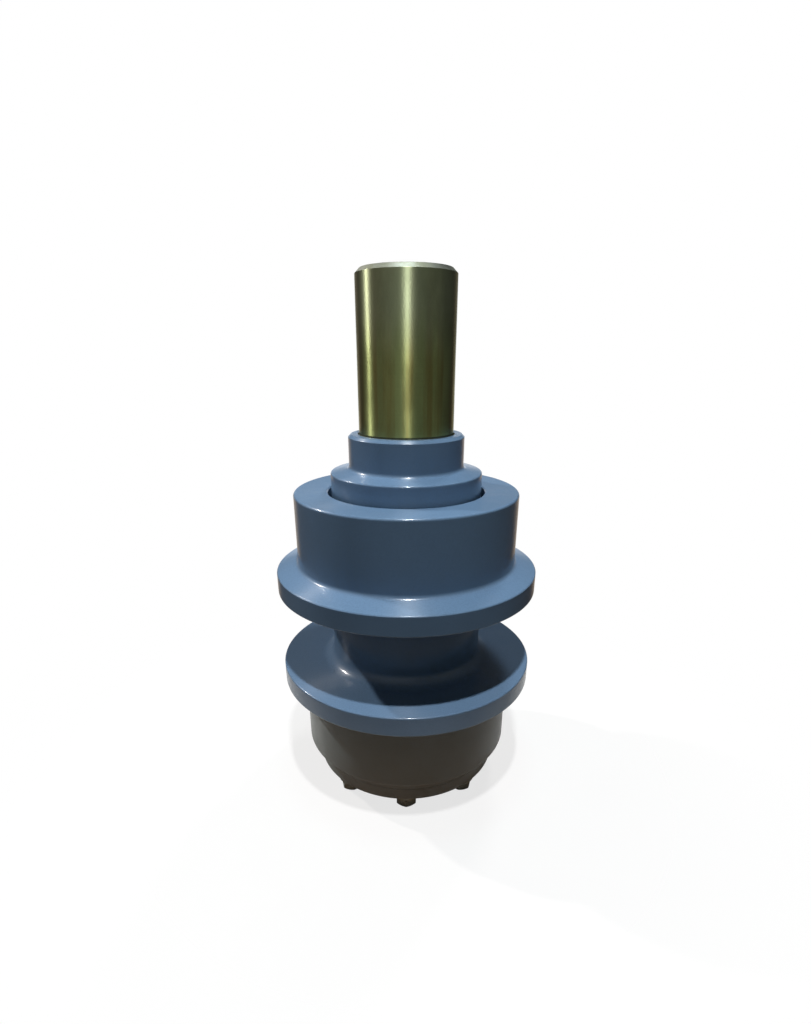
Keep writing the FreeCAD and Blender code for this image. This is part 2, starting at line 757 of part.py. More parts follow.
pieces = [
    build_roller_body(),
    build_bush("outer_bush", "outer_bush_face", "outer_cavity_floor", "outer_bush_end"),
    build_bush("inner_bush", "inner_bush_face", "inner_cavity_floor", "inner_bush_end"),
    build_shaft(),
    build_collar(),
    build_dowel(),
    build_ring("collar_o_ring", "collar_ring_circle", "o_ring_radius", "collar_ring_height"),
    build_seal_ring("fixed_seal_ring", "fixed_face", "fixed_rim", "fixed_tail"),
    build_ring("fixed_toric_ring", "toric_circle", "toric_radius", "fixed_toric"),
    build_seal_ring("turning_seal_ring", "turning_face", "turning_rim", "turning_tail"),
    build_ring("turning_toric_ring", "toric_circle", "toric_radius", "turning_toric"),
    build_thrust_plate(),
    build_bolts("thrust_bolts", "thrust_bolt_circle", "thrust_bolt_count", "thrust_head_low",
                "thrust_bolt_bevel", "thrust_washer_low", "thrust_bolt_taper", "thrust_bolt_end"),
    build_washers("thrust_washers", "thrust_bolt_circle", "thrust_bolt_count",
                  "plain_washer_outside", "thrust_washer_low", "thrust_plate_low"),
    build_end_cover(),
    build_ring("cover_o_ring", "cover_ring_circle", "o_ring_radius", "cover_ring_height"),
    build_bolts("cover_bolts", "cover_bolt_circle", "cover_bolt_count", "rest_plane",
                "cover_bolt_bevel", "spring_washer_low", "cover_bolt_taper", "cover_bolt_end"),
    build_spring_washers(),
    build_washers("cover_plain_washers", "cover_bolt_circle", "cover_bolt_count",
                  "plain_washer_outside", "plain_washer_low", "cover_low"),
    build_plug(),
    build_plug_seal(),
]

doc.recompute()
for item in doc.Objects:
    if "Invalid" in item.State or "Error" in item.State:
        raise RuntimeError(f"{item.Label} failed: {item.State}")
for piece in pieces:
    if piece.Shape.isNull() or not piece.Shape.isValid():
        raise RuntimeError(f"{piece.Label} has no valid shape")

os.makedirs("parts", exist_ok=True)
for piece in pieces:
    piece.Shape.exportStep(f"parts/{piece.Label}.step")
    print(piece.Label, len(piece.Shape.Solids), "solids,", round(piece.Shape.Volume), "cubic mm")
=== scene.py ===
"""Looks of an excavator carrier roller that stands on its bolt heads, shaft end up."""
import sys
import logging
import math
from abc import ABC, abstractmethod
from collections.abc import Callable, Sequence
from dataclasses import dataclass
from enum import Enum
from functools import cache

import bmesh
import bpy
from mathutils import Matrix, Vector


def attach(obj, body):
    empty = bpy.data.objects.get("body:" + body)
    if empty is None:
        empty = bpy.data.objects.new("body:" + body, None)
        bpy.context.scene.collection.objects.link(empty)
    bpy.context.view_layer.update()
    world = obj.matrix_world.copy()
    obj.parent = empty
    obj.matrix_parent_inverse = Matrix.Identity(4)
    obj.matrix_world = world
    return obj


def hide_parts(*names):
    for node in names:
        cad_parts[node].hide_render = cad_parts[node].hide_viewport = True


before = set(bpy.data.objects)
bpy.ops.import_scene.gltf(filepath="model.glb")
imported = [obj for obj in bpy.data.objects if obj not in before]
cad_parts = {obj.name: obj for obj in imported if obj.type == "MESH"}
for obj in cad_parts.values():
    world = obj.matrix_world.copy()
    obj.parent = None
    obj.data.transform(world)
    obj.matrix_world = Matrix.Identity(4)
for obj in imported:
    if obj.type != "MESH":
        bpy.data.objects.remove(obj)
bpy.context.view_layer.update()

log = logging.getLogger("carrier_roller")

Colour = tuple[float, float, float]
Socket = bpy.types.NodeSocket
Feed = Socket | float | Sequence[float]

MM = 0.001
WELD = 1e-7
SHARP = math.radians(26)
QUARTER = math.pi / 2
HALF_SIDE = math.pi / 6
UP, DOWN, INWARD, OUTWARD = (0, 1), (0, -1), (-1, 0), (1, 0)

# Drills: steps round them, overrun in millimetres, and length of the tip as a share of the radius
DRILL_STEPS, DRILL_RUN_OUT, DRILL_TIP = 48, 2, 0.55

# Where a cloudy pattern has most of its values
CLOUD = (0.3, 0.7)

# Sockets of Blender's Mix node that hold colours
FIRST_COLOUR, SECOND_COLOUR, MIXED_COLOUR = 6, 7, 2

# Sizes that more than one sub-assembly uses, in millimetres
BOLT_CIRCLE, BOLT_COUNT = 75.0, 8
TAPPED_HOLE, TAPPED_SINK = 6.05, 0.6
COVER_RIM, COVER_LOW, COVER_HIGH = 88.0, 12.5, 24.5
PLUG_HOLE = 10.05
COLLAR_TOP = 329.3
DOWEL_HEIGHT, DOWEL_HOLE, DOWEL_INNER = 313.55, 5.02, 25.0


class Slot(Enum):
    """Material slots of the record."""

    ENAMEL = "blue_grey_paint"
    GROUND = "ground_steel"
    FASTENERS = "painted_bolts"
    BOLT = "bolt_steel"
    COPPER = "copper"


class Side(Enum):
    """Bodies of the roller that a piece can ride on."""

    FIXED = "shaft_assembly"
    TURNING = "roller"


class Ray(Enum):
    """Kinds of light ray that a surface can tell apart."""

    CAMERA = "Is Camera Ray"
    GLOSSY = "Is Glossy Ray"
    THROUGH = "Is Transmission Ray"


# Finishes


class NodeBench:
    """Lays out the nodes of one tree."""

    def __init__(self, tree: bpy.types.NodeTree) -> None:
        """Start with an empty tree.

        Args:
            tree: the tree of a material or a world.
        """
        self.tree = tree
        self.tree.nodes.clear()

    def feed(self, target: Socket, value: Feed) -> None:
        """Give an input a link or a plain value.

        Args:
            target: the input.
            value: an output to link, or a number or vector to set.
        """
        if isinstance(value, bpy.types.NodeSocket):
            self.tree.links.new(value, target)
        else:
            target.default_value = value

    def add(self, kind: str, *feeds: Feed, **settings: object) -> bpy.types.Node:
        """Add a node.

        Args:
            kind: Blender's name of the node type.
            *feeds: what its first inputs get, in order.
            **settings: properties to set on the node.

        Returns:
            The new node.
        """
        node = self.tree.nodes.new(kind)
        for name, value in settings.items():
            setattr(node, name, value)
        for target, value in zip(node.inputs, feeds):
            self.feed(target, value)
        return node

    def fill(self, node: bpy.types.Node, **feeds: Feed) -> None:
        """Feed a node's inputs by their names, with underscores for spaces."""
        for name, value in feeds.items():
            self.feed(node.inputs[name.replace("_", " ")], value)

    def place(self) -> Socket:
        """Position in the piece's own space, in metres."""
        return self.add("ShaderNodeTexCoord").outputs["Object"]

    def axes(self, vector: Socket) -> Sequence[Socket]:
        """Parts of a vector along X, Y and Z."""
        return self.add("ShaderNodeSeparateXYZ", vector).outputs

    def vector(self, kind: str, first: Feed, second: Feed = (0.0, 0.0, 0.0)) -> Sequence[Socket]:
        """Results of a Vector Math node: a vector, then a number."""
        return self.add("ShaderNodeVectorMath", first, second, operation=kind).outputs

    def number(self, kind: str, first: Feed, second: Feed = 0.0) -> Socket:
        """Result of a Math node on one or two numbers."""
        return self.add("ShaderNodeMath", first, second, operation=kind).outputs[0]

    def times(self, first: Feed, second: Feed) -> Socket:
        """Product of two numbers."""
        return self.number("MULTIPLY", first, second)

    def rays(self, *kinds: Ray) -> Socket:
        """Switch that is 1 for the given kinds of ray.

        Args:
            *kinds: the kinds.

        Returns:
            The switch.
        """
        path = self.add("ShaderNodeLightPath")
        seen, *others = (path.outputs[kind.value] for kind in kinds)
        for other in others:
            seen = self.number("MAXIMUM", seen, other)
        return seen

    def rings(self, across: float, up: float, about: float) -> Socket:
        """Position as distance from the axis, turn and height, for marks that run round it.

        Args:
            across: factor of the distance from the axis.
            up: factor of the height.
            about: factor of the turn.

        Returns:
            The position.
        """
        east, north, high = self.axes(self.place())
        reach = self.number("SQRT", self.number("ADD", self.times(east, east), self.times(north, north)))
        turn = self.number("ARCTAN2", north, east)
        parts = self.times(reach, across), self.times(turn, about), self.times(high, up)
        return self.add("ShaderNodeCombineXYZ", *parts).outputs[0]

    def noise(self, vector: Socket, scale: float, detail: float, rough: float = 0.55) -> Socket:
        """Cloudy pattern about 0.5.

        Args:
            vector: position to read it at.
            scale: cells a metre.
            detail: octaves.
            rough: weight of the finer octaves.

        Returns:
            The pattern.
        """
        node = self.add("ShaderNodeTexNoise")
        self.fill(node, Vector=vector, Scale=scale, Detail=detail, Roughness=rough)
        return node.outputs["Fac"]

    def specks(self, vector: Socket, scale: float, size: float, share: float) -> Socket:
        """Scattered small spots.

        Args:
            vector: position to read them at.
            scale: cells a metre, each with room for one spot.
            size: radius of a spot, as a share of its cell.
            share: how many of the cells hold a spot.

        Returns:
            1 in a spot and 0 elsewhere.
        """
        node = self.add("ShaderNodeTexVoronoi")
        self.fill(node, Vector=vector, Scale=scale)
        draw = self.add("ShaderNodeSeparateColor", node.outputs["Color"]).outputs[0]
        near = self.number("LESS_THAN", node.outputs["Distance"], size)
        return self.times(near, self.number("LESS_THAN", draw, share))

    def fade(self, value: Socket, low: float, high: float, start: float = 0.0,
             end: float = 1.0) -> Socket:
        """Smooth step between two results, as a value goes from low to high."""
        return self.add("ShaderNodeMapRange", value, low, high, start, end,
                        interpolation_type="SMOOTHSTEP").outputs["Result"]

    def vary(self, value: float, pattern: Socket, down: float, up: float) -> Socket:
        """Value that a cloudy pattern moves a little down and up."""
        return self.fade(pattern, *CLOUD, value - down, value + up)

    def blend(self, share: Feed, first: Socket | Colour, second: Socket | Colour) -> Socket:
        """Mix two colours.

        Args:
            share: how much of the second.
            first: first colour.
            second: second colour.

        Returns:
            The mixed colour.
        """
        node = self.add("ShaderNodeMix", share, data_type="RGBA")
        for index, colour in ((FIRST_COLOUR, first), (SECOND_COLOUR, second)):
            self.feed(node.inputs[index], (*colour, 1.0) if isinstance(colour, tuple) else colour)
        return node.outputs[MIXED_COLOUR]

    def veil(self, body: Socket | Colour, colour: Colour, pattern: Socket, most: float = 1.0,
             low: float = 0.35, high: float = 0.75) -> Socket:
        """Body with another colour over it, up to a greatest share, where a pattern is high."""
        return self.blend(self.fade(pattern, low, high, 0.0, most), body, colour)

    def relief(self, height: Socket, depth: float, below: Socket | None = None) -> Socket:
        """Bumps on the surface.

        Args:
            height: pattern of the bumps.
            depth: their depth in metres.
            below: relief that they lie on.

        Returns:
            The surface's bumped direction.
        """
        node = self.add("ShaderNodeBump")
        self.fill(node, Distance=depth, Height=height)
        if below is not None:
            self.fill(node, Normal=below)
        return node.outputs[0]


class MaterialBench(NodeBench):
    """Lays out the nodes of one material round a Principled shader."""

    def __init__(self, name: str) -> None:
        """Start an empty material.

        Args:
            name: name of the material.
        """
        self.material = bpy.data.materials.new(name)
        self.material.use_nodes = True
        super().__init__(self.material.node_tree)
        self.shader = self.add("ShaderNodeBsdfPrincipled")
        self.output = self.add("ShaderNodeOutputMaterial", self.shader.outputs[0])

    def set(self, **values: Feed) -> None:
        """Feed the shader's inputs, named with underscores for spaces."""
        self.fill(self.shader, **values)

    def brush(self, amount: Feed) -> None:
        """Draw the gloss out as fine rings about the upright do."""
        tangent = self.add("ShaderNodeTangent", direction_type="RADIAL", axis="Z")
        self.set(Anisotropic=amount, Anisotropic_Rotation=0.25, Tangent=tangent.outputs[0])


def tint(colour: Colour, factor: float) -> Colour:
    """Colour made lighter or darker by a factor."""
    return tuple(min(1.0, part * factor) for part in colour)


class Finish(ABC):
    """Look of a surface."""

    name: str

    @cache
    def material(self) -> bpy.types.Material:
        """Build the finish once.

        Returns:
            The material.
        """
        bench = MaterialBench(self.name)
        self.lay(bench)
        return bench.material

    @abstractmethod
    def lay(self, bench: MaterialBench) -> None:
        """Lay out the finish.

        Args:
            bench: where its nodes go.
        """


@dataclass(frozen=True)
class Enamel(Finish):
    """Sprayed gloss paint with orange peel and nibs, and painted light: upward faces lighter than the
    walls, and a painted reflection of a warm floor low down.
    """

    name: str = "blue_grey_enamel"
    colour: Colour = (0.110, 0.195, 0.314)
    # Painted light: colour of the upward faces, lighter than the walls' colour above
    painted_top_light: Colour = (0.150, 0.255, 0.405)
    # Painted reflection of a warm floor, mixed in towards the bottom
    painted_floor_reflection: Colour = (0.350, 0.365, 0.275)
    roughness: float = 0.40
    gloss: float = 0.22
    film: float = 0.60
    film_roughness: float = 0.16
    top_gloss: float = 0.14
    top_grain: float = 0.9
    peel: float = 0.00003
    turning: float = 0.00002
    nib: float = 0.00006
    nib_colour: Colour = (0.62, 0.66, 0.70)
    nick_colour: Colour = (0.045, 0.056, 0.070)
    # Band at the bottom that holds the painted floor reflection, where gloss and coat are weaker
    floor_reflection_height: float = 0.099
    floor_reflection_edge: float = 0.004
    floor_reflection_share: float = 0.55
    floor_reflection_gloss: float = 0.4
    floor_reflection_film: float = 0.2

    def lay(self, bench: MaterialBench) -> None:
        """Lay out the paint.

        Args:
            bench: where its nodes go.
        """
        place = bench.place()
        facing = bench.add("ShaderNodeTexCoord").outputs["Normal"]
        top = bench.fade(bench.axes(facing)[2], 0.2, 0.9)
        thin, full, grainy = (tint(self.colour, factor) for factor in (0.93, 1.06, 0.86))
        body = bench.veil(thin, full, bench.noise(place, 13, detail=2), 1.0, *CLOUD)
        # Painted light: upward faces take the lighter colour, so the walls look darker
        body = bench.blend(top, body, self.painted_top_light)
        body = bench.veil(body, grainy, bench.noise(place, 700, detail=2), 0.35)
        nibs = bench.specks(place, 70, size=0.028, share=0.02)
        nicks = bench.specks(place, 46, size=0.022, share=0.006)
        body = bench.blend(bench.times(nibs, 0.6), body, self.nib_colour)
        body = bench.blend(bench.times(nicks, 0.5), body, self.nick_colour)
        # Painted reflection of a warm floor: warmer, greyer colour and weaker gloss below the band's
        # height
        edge = self.floor_reflection_height - self.floor_reflection_edge
        low = bench.fade(bench.axes(place)[2], edge, self.floor_reflection_height, 1.0, 0.0)
        body = bench.blend(bench.times(low, self.floor_reflection_share), body, self.painted_floor_reflection)
        marks = bench.noise(bench.rings(900, 900, about=1.2), 1, detail=3, rough=0.6)
        relief = bench.relief(marks, self.turning)
        relief = bench.relief(bench.noise(place, 380, detail=2), self.peel, relief)
        relief = bench.relief(nibs, self.nib, relief)
        gloss = bench.fade(low, 0.0, 1.0, self.gloss, self.floor_reflection_gloss * self.gloss)
        bench.set(Base_Color=body, Normal=relief, Coat_Normal=relief,
                  Coat_Roughness=self.film_roughness,
                  Specular_IOR_Level=bench.number("ADD", bench.times(top, self.top_gloss), gloss),
                  Coat_Weight=bench.fade(low, 0.0, 1.0, self.film, self.floor_reflection_film * self.film),
                  Roughness=bench.vary(self.roughness, bench.noise(place, 60, detail=3), 0.05, 0.06))
        bench.brush(bench.times(top, self.top_grain))


@dataclass(frozen=True)
class GroundSteel(Finish):
    """Ground shaft steel under an olive film of oil, drier at the top, with faint rings and pits."""

    name: str = "ground_shaft_steel"
    colour: Colour = (0.33, 0.385, 0.155)
    brown: Colour = (0.27, 0.24, 0.085)
    dry: Colour = (0.40, 0.45, 0.29)
    pit_colour: Colour = (0.035, 0.032, 0.020)
    roughness: float = 0.35
    dry_roughness: float = 0.10
    dry_from: float = 0.390
    dry_to: float = 0.440
    line: float = 0.000006
    grain: float = 0.00005
    pit: float = -0.00004

    def lay(self, bench: MaterialBench) -> None:
        """Lay out the steel.

        Args:
            bench: where its nodes go.
        """
        place = bench.place()
        streaks = bench.noise(bench.rings(30, 5, about=5.0), 1, detail=3)
        lines = bench.noise(bench.rings(60, 5200, about=0.9), 1, detail=3, rough=0.7)
        body = bench.veil(self.colour, self.brown, streaks, low=0.42, high=0.70)
        body = bench.veil(body, tint(self.colour, 0.72), lines, 0.40)
        pits = bench.specks(place, 210, size=0.07, share=0.045)
        body = bench.blend(bench.times(pits, 0.8), body, self.pit_colour)
        height = bench.number("ADD", bench.axes(place)[2], bench.times(streaks, 0.02))
        dry = bench.fade(height, self.dry_from, self.dry_to)
        body = bench.blend(bench.times(dry, 0.8), body, self.dry)
        smears = bench.noise(bench.vector("MULTIPLY", place, (1.0, 1.0, 0.35))[0], 85, detail=3)
        relief = bench.relief(lines, self.line)
        relief = bench.relief(bench.noise(place, 700, detail=1), self.grain, relief)
        relief = bench.relief(pits, self.pit, relief)
        rough = bench.vary(self.roughness, smears, 0.05, 0.06)
        bench.set(Base_Color=body, Metallic=1.0, Normal=relief,
                  Roughness=bench.number("ADD", bench.times(dry, self.dry_roughness), rough))
        bench.brush(1.0)


@dataclass(frozen=True)
class CutMetal(Finish):
    """Metal as a lathe or a die leaves it: fine rings, a little stain, and no paint."""

    name: str
    colour: Colour
    stain: Colour
    roughness: float = 0.38
    rings: float = 2600.0
    stained: float = 0.35
    line: float = 0.00001

    def lay(self, bench: MaterialBench) -> None:
        """Lay out the metal.

        Args:
            bench: where its nodes go.
        """
        cloud = bench.noise(bench.place(), 55, detail=4)
        lines = bench.noise(bench.rings(self.rings, self.rings, about=1.5), 1, detail=2, rough=0.6)
        body = bench.veil(self.colour, self.stain, cloud, self.stained, 0.40, 0.72)
        bench.set(Base_Color=bench.veil(body, tint(self.colour, 0.75), lines, 0.3), Metallic=1.0,
                  Normal=bench.relief(lines, self.line),
                  Roughness=bench.vary(self.roughness, cloud, 0.06, 0.10))


@dataclass(frozen=True)
class MouldedRubber(Finish):
    """Black nitrile rubber, matt, with a dry bloom."""

    name: str = "nitrile_rubber"
    colour: Colour = (0.016, 0.016, 0.017)
    bloom: Colour = (0.052, 0.052, 0.055)
    roughness: float = 0.56
    grain: float = 0.00002

    def lay(self, bench: MaterialBench) -> None:
        """Lay out the rubber.

        Args:
            bench: where its nodes go.
        """
        place = bench.place()
        cloud = bench.noise(place, 120, detail=4)
        bench.set(Base_Color=bench.veil(self.colour, self.bloom, cloud, 0.6, 0.45),
                  Specular_IOR_Level=0.4,
                  Normal=bench.relief(bench.noise(place, 2600, detail=2), self.grain),
                  Roughness=bench.vary(self.roughness, cloud, 0.06, 0.12))


ENAMEL = Enamel()
# Painted light: paint lighter than the roller's, standing in for light the bolts lack in the shade by the
# floor; its third colour is their painted floor reflection
FASTENER_PAINT = Enamel("fastener_paint", (0.34, 0.39, 0.40), (0.36, 0.40, 0.40), (0.48, 0.58, 0.54),
                        roughness=0.50, gloss=0.40, film=0.20, film_roughness=0.30)
SHAFT_STEEL = GroundSteel()
BARE_EDGE = CutMetal("bare_shaft_edge", (0.34, 0.36, 0.31), (0.17, 0.18, 0.10), 0.52, 3000.0, 0.6)
# Oil and painted shade: dark band where the shaft and collar meet, standing in for the shaded gap
OIL_AND_JOINT_SHADE = CutMetal("oil_and_painted_joint_shade", (0.10, 0.11, 0.07), (0.05, 0.05, 0.03), 0.60)
BOLT_STEEL = CutMetal("zinc_bolt_steel", (0.50, 0.49, 0.44), (0.32, 0.29, 0.22), 0.40)
SEAL_IRON = CutMetal("lapped_seal_iron", (0.42, 0.42, 0.41), (0.27, 0.26, 0.25), 0.26)
PLATE_STEEL = CutMetal("oiled_plate_steel", (0.36, 0.35, 0.33), (0.16, 0.13, 0.10), 0.42)
BUSH_BRONZE = CutMetal("bush_bronze", (0.66, 0.42, 0.17), (0.42, 0.24, 0.10), 0.34)
SEAL_COPPER = CutMetal("seal_copper", (0.78, 0.36, 0.21), (0.40, 0.19, 0.12), 0.36)
RUBBER = MouldedRubber()


# Meshes


# Corner of a turned outline: distance from the axis, height and rounding, in millimetres
Corner = tuple[float, float, float]
RingShape = Callable[[float], tuple[float, float]]


def beveled(out: float, up: float, width: float, before: Sequence[float], after: Sequence[float],
            soft: float = 0.3) -> list[Corner]:
    """Corner cut off at 45 degrees, given its ways back and on along the outline, and eased twice."""
    return [(out + width * east, up + width * high, soft) for east, high in (before, after)]


@dataclass
class Outline:
    """Outline of a turned piece. One that isn't closed starts and ends on the axis."""

    corners: list[Corner]
    closed: bool = True
    steps: int = 10
    guard: float = 0.35
    most: float = 0.49
    tiny: float = 1e-6
    straight: float = math.radians(89)

    def arc(self, before: Corner, corner: Corner, after: Corner) -> list[tuple[float, float]]:
        """Points of one corner's rounding, with a guard point on each side of it.

        Args:
            before: corner before it.
            corner: the corner.
            after: corner after it.

        Returns:
            The points, as (out, up).
        """
        soft, spot = corner[2], Vector(corner[:2])
        back, on = Vector(before[:2]) - spot, Vector(after[:2]) - spot
        if soft <= 0 or min(back.length, on.length) < self.tiny or back.angle(on) / 2 > self.straight:
            return [tuple(spot)]
        half = back.angle(on) / 2
        reach = min(soft / math.tan(half), self.most * back.length, self.most * on.length)
        depth = reach * math.tan(half) / math.sin(half)
        centre = spot + (back.normalized() + on.normalized()).normalized() * depth
        start, end = spot + back.normalized() * reach, spot + on.normalized() * reach
        first, last = start - centre, end - centre
        sweep = first.angle(last)
        count = max(3, round(self.steps * sweep / QUARTER))
        points = []
        for step in range(count + 1):
            part = step / count
            mixed = first * math.sin((1 - part) * sweep) + last * math.sin(part * sweep)
            points.append(tuple(centre + mixed / math.sin(sweep)))
        if back.length - reach > 3 * self.guard:
            points.insert(0, tuple(start + back.normalized() * self.guard))
        if on.length - reach > 3 * self.guard:
            points.append(tuple(end + on.normalized() * self.guard))
        return points

    def points(self) -> list[tuple[float, float]]:
        """Whole outline.

        Returns:
            The points, as (out, up).
        """
        found: list[tuple[float, float]] = []
        count = len(self.corners)
        for index, corner in enumerate(self.corners):
            if not self.closed and index in (0, count - 1):
                found.append(corner[:2])
            else:
                found += self.arc(self.corners[index - 1], corner, self.corners[(index + 1) % count])
        return found


def groove(out: float, floor: float, heights: tuple[float, float]) -> list[Corner]:
    """Corners of a ring groove, from its low side to its high side."""
    low, high = heights
    return [(out, low, 0.2), (floor, low, 0.3), (floor, high, 0.3), (out, high, 0.2)]


def steady(out: float, up: float) -> RingShape:
    """Ring that is the same all the way round."""
    return lambda turn: (out, up)


def hexagon(flats: float, turn: float) -> float:
    """Distance of a hexagon's side from its middle in a direction, from its width across flats."""
    sector = (turn + HALF_SIDE) % (2 * HALF_SIDE) - HALF_SIDE
    return flats / 2 / math.cos(HALF_SIDE - abs(sector))


def round_point(out: float, turn: float, up: float) -> tuple[float, float, float]:
    """Point in metres, from its distance to the axis, its turn and its height in millimetres."""
    return out * math.cos(turn) * MM, out * math.sin(turn) * MM, up * MM


def even_turns(count: int) -> list[float]:
    """Turns at even steps round the axis."""
    return [math.tau * index / count for index in range(count)]


def stack_rings(name: str, rings: Sequence[RingShape], count: int,
                caps: tuple[float | None, float | None] = (None, None)) -> bpy.types.Mesh:
    """Skin a stack of rings about the upright.

    Args:
        name: name of the mesh.
        rings: distance from the axis and height of each ring, for a turn in radians.
        count: steps round the axis.
        caps: heights of the middle points that close the first and last ring. With neither of them,
            the last ring joins the first.

    Returns:
        The mesh, in metres.
    """
    spots = []
    for ring in rings:
        for turn in even_turns(count):
            out, up = ring(turn)
            spots.append(round_point(out, turn, up))
    final = len(rings) - 1
    pairs = [(index, index + 1) for index in range(final)]
    if caps == (None, None):
        pairs.append((final, 0))
    steps = [(index, (index + 1) % count) for index in range(count)]
    faces: list[tuple[int, ...]] = []
    for low, high in pairs:
        faces += [(low * count + here, low * count + on, high * count + on, high * count + here)
                  for here, on in steps]
    for cap, ring in zip(caps, (0, final)):
        if cap is not None:
            faces += [(len(spots), ring * count + here, ring * count + on) for here, on in steps]
            spots.append((0.0, 0.0, cap * MM))
    mesh = bpy.data.meshes.new(name)
    mesh.from_pydata(spots, [], faces)
    return mesh


def as_object(mesh: bpy.types.Mesh, place: Matrix | None = None) -> bpy.types.Object:
    """Put a mesh in the scene.

    Args:
        mesh: the mesh.
        place: where it goes; its points are moved there.

    Returns:
        The object, with its origin at the frame's origin.
    """
    if place is not None:
        mesh.transform(place)
    piece = bpy.data.objects.new(mesh.name, mesh)
    bpy.context.scene.collection.objects.link(piece)
    return piece


def turned(name: str, outline: Outline, count: int, place: Matrix | None = None) -> bpy.types.Object:
    """Turn an outline about the upright.

    Args:
        name: name of the piece.
        outline: the outline.
        count: steps round the axis.
        place: where the piece goes.

    Returns:
        The piece.
    """
    points = outline.points()
    if outline.closed:
        mesh = stack_rings(name, [steady(*point) for point in points], count)
    else:
        rings = [steady(*point) for point in points[1:-1]]
        mesh = stack_rings(name, rings, count, (points[0][1], points[-1][1]))
    return as_object(mesh, place)


def tidy_mesh(mesh: bpy.types.Mesh) -> None:
    """Weld stray points, face every side outwards, and keep only true edges sharp.

    Args:
        mesh: the mesh.
    """
    work = bmesh.new()
    work.from_mesh(mesh)
    bmesh.ops.remove_doubles(work, verts=work.verts, dist=WELD)
    bmesh.ops.dissolve_degenerate(work, edges=work.edges, dist=WELD)
    bmesh.ops.recalc_face_normals(work, faces=work.faces)
    for face in work.faces:
        face.smooth = True
    for edge in work.edges:
        edge.smooth = len(edge.link_faces) != 2 or edge.calc_face_angle() < SHARP
    work.to_mesh(mesh)
    work.free()


def drill(piece: bpy.types.Object, cutters: Sequence[bpy.types.Object]) -> None:
    """Cut holes into a piece.

    Args:
        piece: the piece.
        cutters: solids to take away; they are used up.
    """
    for cutter in cutters:
        tidy_mesh(cutter.data)
        cut = piece.modifiers.new("cut", "BOOLEAN")
        cut.operation, cut.solver, cut.object = "DIFFERENCE", "EXACT", cutter
        bpy.context.view_layer.update()
        shape = piece.evaluated_get(bpy.context.evaluated_depsgraph_get())
        before, after = piece.data, bpy.data.meshes.new_from_object(shape)
        piece.modifiers.remove(cut)
        piece.data = after
        spent = cutter.data
        bpy.data.objects.remove(cutter)
        for mesh in (before, spent):
            bpy.data.meshes.remove(mesh)


def hole_cutter(radius: float, low: float, high: float, sink: float, place: Matrix) -> bpy.types.Object:
    """Drill with a countersink at its low end and a pointed tip.

    Args:
        radius: radius of the hole.
        low: height where the hole starts.
        high: height where it ends.
        sink: width of the countersink.
        place: where the hole's own upright goes.

    Returns:
        The cutter.
    """
    start = low - DRILL_RUN_OUT
    return turned("drill", Outline([
        (0, start, 0), (radius + sink, start, 0), (radius + sink, low, 0),
        (radius, low + sink, 0), (radius, high, 0), (0, high + radius * DRILL_TIP, 0),
    ], closed=False), DRILL_STEPS, place)


def round_places(circle: float, count: int) -> list[Matrix]:
    """Places at even steps on a circle about the upright, the first towards +X."""
    return [Matrix.Rotation(turn, 4, "Z") @ Matrix.Translation((circle * MM, 0, 0))
            for turn in even_turns(count)]


def laid_over(height: float, turn: float) -> Matrix:
    """Place at a height on the axis, turned over about X."""
    return Matrix.Translation((0, 0, height * MM)) @ Matrix.Rotation(turn, 4, "X")


def paint_band(piece: bpy.types.Object, index: int, chosen: Callable[[Vector], bool]) -> None:
    """Give the faces that a test picks another of the piece's materials.

    Args:
        piece: the piece.
        index: number of the material.
        chosen: test of a face's middle, in millimetres.
    """
    for face in piece.data.polygons:
        if chosen(face.center / MM):
            face.material_index = index


def dress(piece: bpy.types.Object, side: Side, slot: Slot, nodes: Sequence[str],
          *finishes: Finish) -> None:
    """Finish a piece and seat it in the frame.

    Args:
        piece: the piece, in place.
        side: body that it rides on.
        slot: material slot of the record; not used.
        nodes: CAD nodes that it stands for.
        *finishes: its finishes.
    """
    tidy_mesh(piece.data)
    bands = [face.material_index for face in piece.data.polygons]
    piece.data.materials.clear()
    for finish in finishes:
        piece.data.materials.append(finish.material())
    for face, band in zip(piece.data.polygons, bands):
        face.material_index = min(band, len(finishes) - 1)
    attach(piece, side.value)
    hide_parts(*nodes)
    log.info("%s: %d faces on %s", piece.name, len(piece.data.polygons), side.value)


# Sub-assemblies


